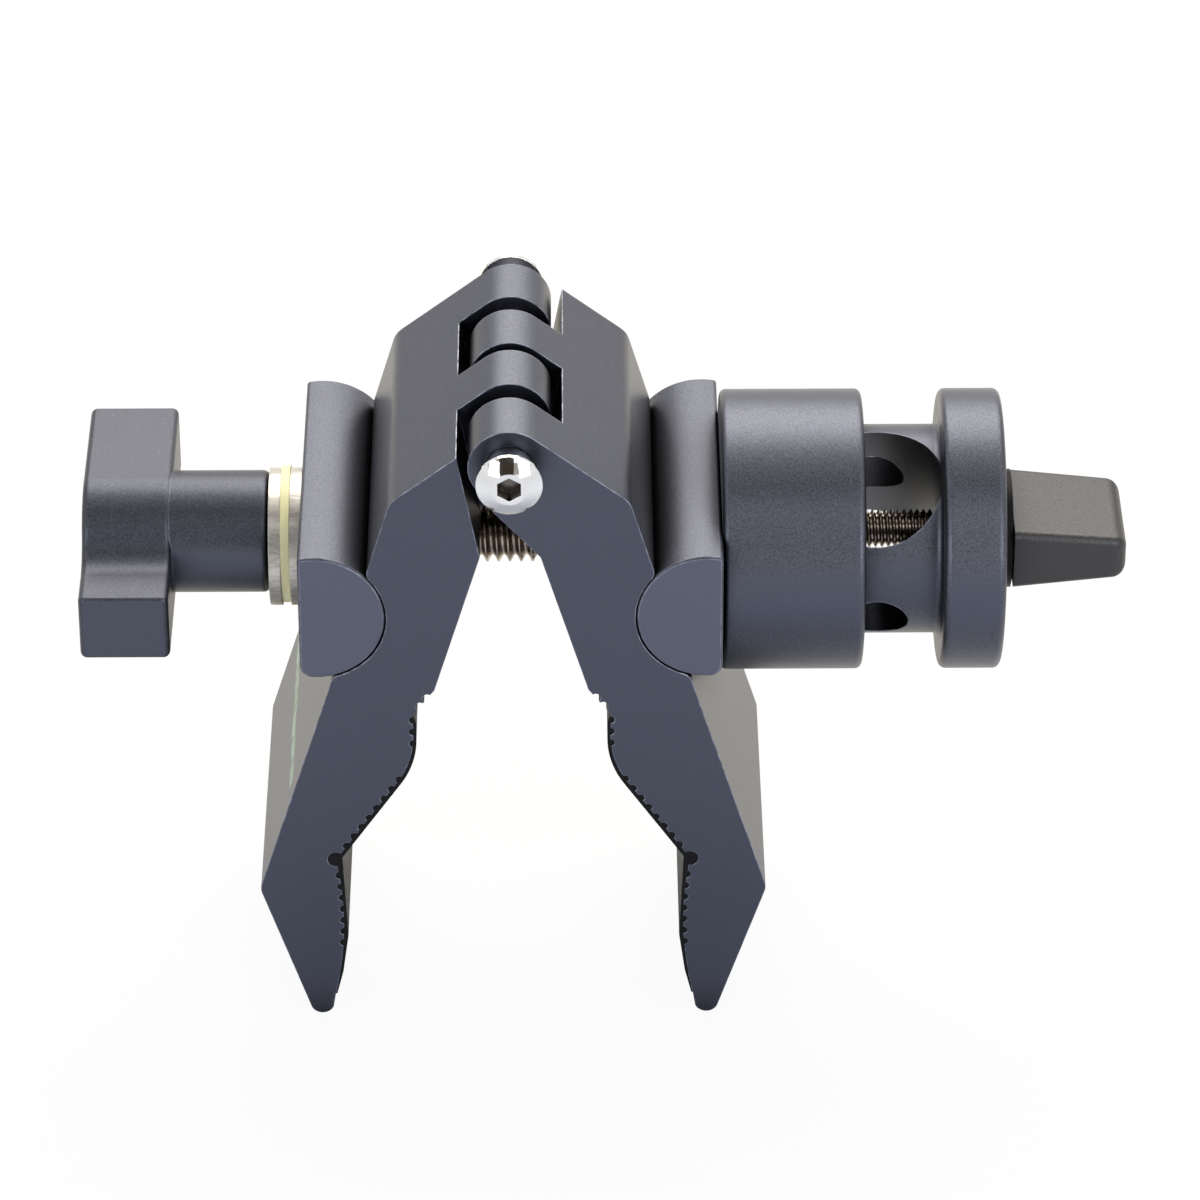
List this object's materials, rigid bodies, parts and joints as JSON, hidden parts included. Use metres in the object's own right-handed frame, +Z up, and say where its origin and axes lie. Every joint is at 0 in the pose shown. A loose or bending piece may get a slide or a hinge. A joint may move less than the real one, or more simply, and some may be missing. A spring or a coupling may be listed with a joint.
{
  "type": "camera tube clamp",
  "caption": "Hinged clamp with rubber-lined serrated jaws, a T-handle draw screw, and a sliding, swivelling rod grip with a thumb knob.",
  "frame": {"origin": "middle of the footprint on the surface that the jaw tips stand on", "axes": "+X along the draw screw from the T-handle to the knob, +Y along the hinge pin and the gripped tube, +Z up"},
  "size_m": [0.1296, 0.0504, 0.0865],
  "materials": {
    "body": "bead-blasted, dark blue-grey anodised",
    "knob": "grainy bead-blasted grey",
    "steel": "nickel-plated steel",
    "thread": "machined steel thread",
    "chrome": "polished",
    "nylon": "pale yellowish nylon",
    "rubber": "black moulded rubber"
  },
  "bodies": {
    "right_jaw_body": {"right_jaw": "body", "right_jaw_lining": "rubber", "hinge_screw": "chrome", "hinge_barrel_nut": "chrome"},
    "left_jaw_body": {"left_jaw": "body", "left_jaw_lining": "rubber"},
    "left_trunnion_body": {"left_trunnion": "body", "inner_washer": "steel", "nylon_washer": "nylon", "outer_washer": "steel"},
    "t_handle_body": {"t_handle": "body"},
    "right_trunnion_body": {"right_trunnion": "body", "draw_screw": "thread", "lock_nut": "steel", "grip_sleeve": "body", "sleeve_gland": "body"},
    "barrel_ring_body": {"barrel_retaining_ring": "steel"},
    "barrel_body": {"grip_barrel": "body"},
    "knob_washer_body": {"knob_washer": "rubber"},
    "knob_body": {"knob": "knob", "clamp_screw": "thread"}
  },
  "joints": [
    {"name": "jaw_hinge", "type": "hinge", "parent": "right_jaw_body", "child": "left_jaw_body", "pos_m": [-0.01158, 0, 0.0815], "axis": [0, -1, 0], "range_deg": [0, 31.5]},
    {"name": "left_trunnion_swivel", "type": "hinge", "parent": "left_jaw_body", "child": "left_trunnion_body", "pos_m": [-0.03562, 0, 0.0599], "axis": [0, 1, 0], "range_deg": [0, 15.75]},
    {"name": "t_handle_turn", "type": "hinge", "parent": "left_trunnion_body", "child": "t_handle_body", "pos_m": [-0.05368, 0, 0.0599], "axis": [1, 0, 0], "range_deg": [0, 3445]},
    {"name": "right_trunnion_swivel", "type": "hinge", "parent": "right_jaw_body", "child": "right_trunnion_body", "pos_m": [0.01247, 0, 0.0599], "axis": [0, -1, 0], "range_deg": [0, 15.75]},
    {"name": "barrel_slide", "type": "slide", "parent": "right_trunnion_body", "child": "barrel_ring_body", "axis": [1, 0, 0], "range_m": [-0.0026, 0.0062]},
    {"name": "barrel_turn", "type": "hinge", "parent": "barrel_ring_body", "child": "barrel_body", "pos_m": [0.03363, 0, 0.0599], "axis": [1, 0, 0], "continuous": true},
    {"name": "knob_travel", "type": "slide", "parent": "barrel_body", "child": "knob_washer_body", "axis": [1, 0, 0], "range_m": [0, 0.01271]},
    {"name": "knob_turn", "type": "hinge", "parent": "knob_washer_body", "child": "knob_body", "pos_m": [0.05842, 0, 0.0599], "axis": [1, 0, 0], "range_deg": [0, 5760]}
  ],
  "couplings": [
    {"joint": "jaw_hinge", "follows": "t_handle_turn", "ratio": 0.0091436},
    {"joint": "left_trunnion_swivel", "follows": "t_handle_turn", "ratio": 0.0045718},
    {"joint": "right_trunnion_swivel", "follows": "t_handle_turn", "ratio": 0.0045718},
    {"joint": "knob_travel", "follows": "knob_turn", "m_per_rad": 0.00012637}
  ]
}
